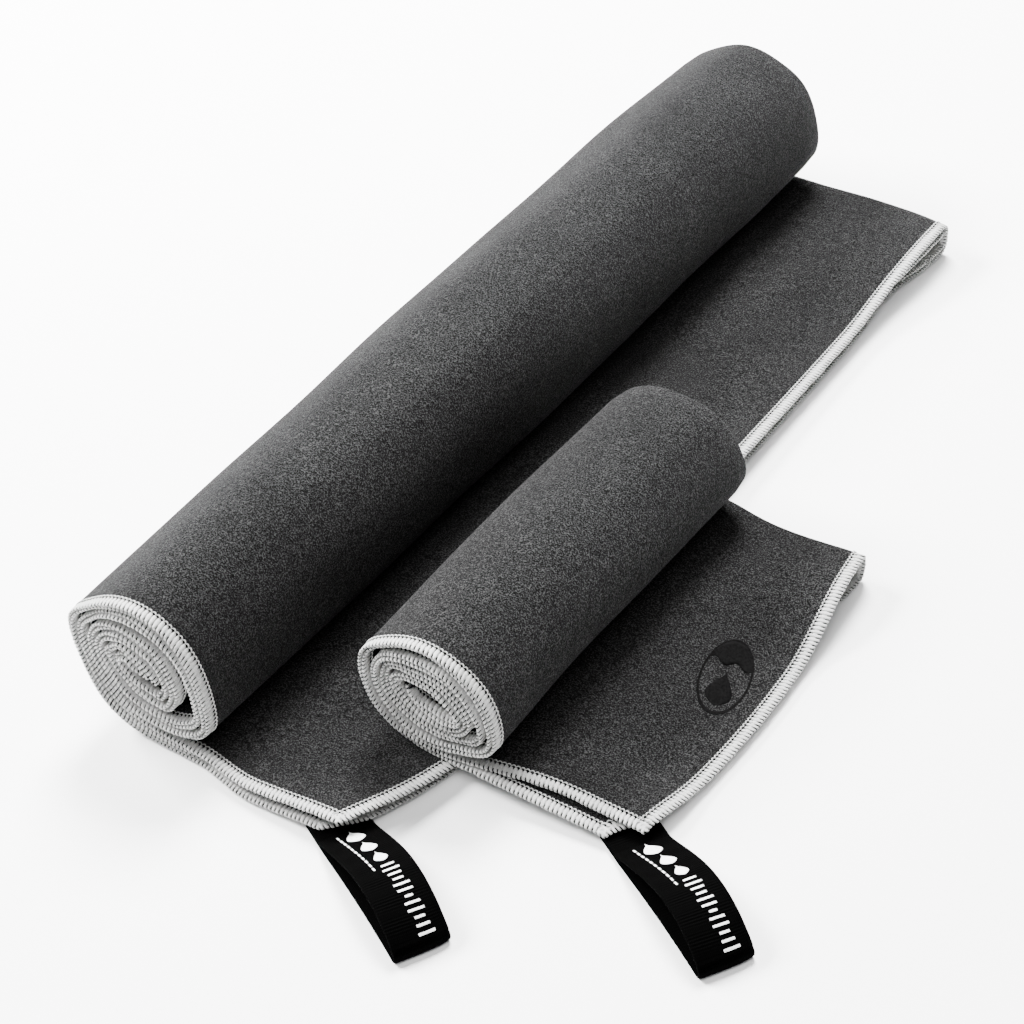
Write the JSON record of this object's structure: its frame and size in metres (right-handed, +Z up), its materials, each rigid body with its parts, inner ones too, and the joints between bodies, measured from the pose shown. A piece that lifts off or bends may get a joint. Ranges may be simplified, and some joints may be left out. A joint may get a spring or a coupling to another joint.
{
  "type": "quick dry towel set",
  "caption": "Rolled microfibre towel with a small rolled towel lying on its free end, overlocked hems and a webbing hanging loop on each.",
  "frame": {"origin": "middle of the whole set's footprint, on the surface that it lies on", "axes": "+Y along both rolls, away from their hemmed ends; +X from the large roll towards the free ends; +Z up"},
  "size_m": [0.2448, 0.437, 0.059],
  "materials": {
    "microfibre": "short suede nap",
    "hem_thread": "overlocked polyester thread",
    "webbing": "ribbed woven webbing",
    "webbing_thread": "sewing thread",
    "print": "screen print",
    "emblem": "pressed tone on tone mark"
  },
  "bodies": {
    "large_roll": {"large_roll": "microfibre", "large_roll_hems": "hem_thread"},
    "large_flap": {"large_flap_outer": "microfibre", "large_flap_inner": "microfibre", "large_side_hems": "hem_thread", "large_end_hem_outer": "hem_thread", "large_end_hem_inner": "hem_thread", "large_loop_tab": "webbing", "large_loop_stitches": "webbing_thread"},
    "large_loop": {"large_loop": "webbing", "large_loop_print": "print"},
    "small_roll": {"small_roll": "microfibre", "small_roll_hems": "hem_thread"},
    "small_flap": {"small_flap": "microfibre", "small_side_hems": "hem_thread", "small_end_hem": "hem_thread", "small_loop_tab": "webbing", "small_loop_stitches": "webbing_thread", "small_emblem": "emblem"},
    "small_loop": {"small_loop": "webbing", "small_loop_print": "print"}
  },
  "joints": [
    {"name": "large_flap_lift", "type": "hinge", "parent": "large_roll", "child": "large_flap", "pos_m": [-0.06672, 0.01853, 0.0082], "axis": [0, -1, 0], "range_deg": [0, 30]},
    {"name": "large_loop_swing", "type": "hinge", "parent": "large_flap", "child": "large_loop", "pos_m": [-0.00913, -0.18317, 0.0025], "axis": [-0.515, -0.8572, 0], "range_deg": [0, 90]},
    {"name": "small_towel_lift", "type": "slide", "parent": "large_flap", "child": "small_roll", "axis": [0, 0, 1], "range_m": [0, 0.12]},
    {"name": "small_flap_lift", "type": "hinge", "parent": "small_roll", "child": "small_flap", "pos_m": [0.01328, -0.06747, 0.0126], "axis": [0, -1, 0], "range_deg": [0, 45]},
    {"name": "small_loop_swing", "type": "hinge", "parent": "small_flap", "child": "small_loop", "pos_m": [0.07331, -0.13847, 0.0025], "axis": [-0.5446, -0.8387, 0], "range_deg": [0, 90]}
  ]
}
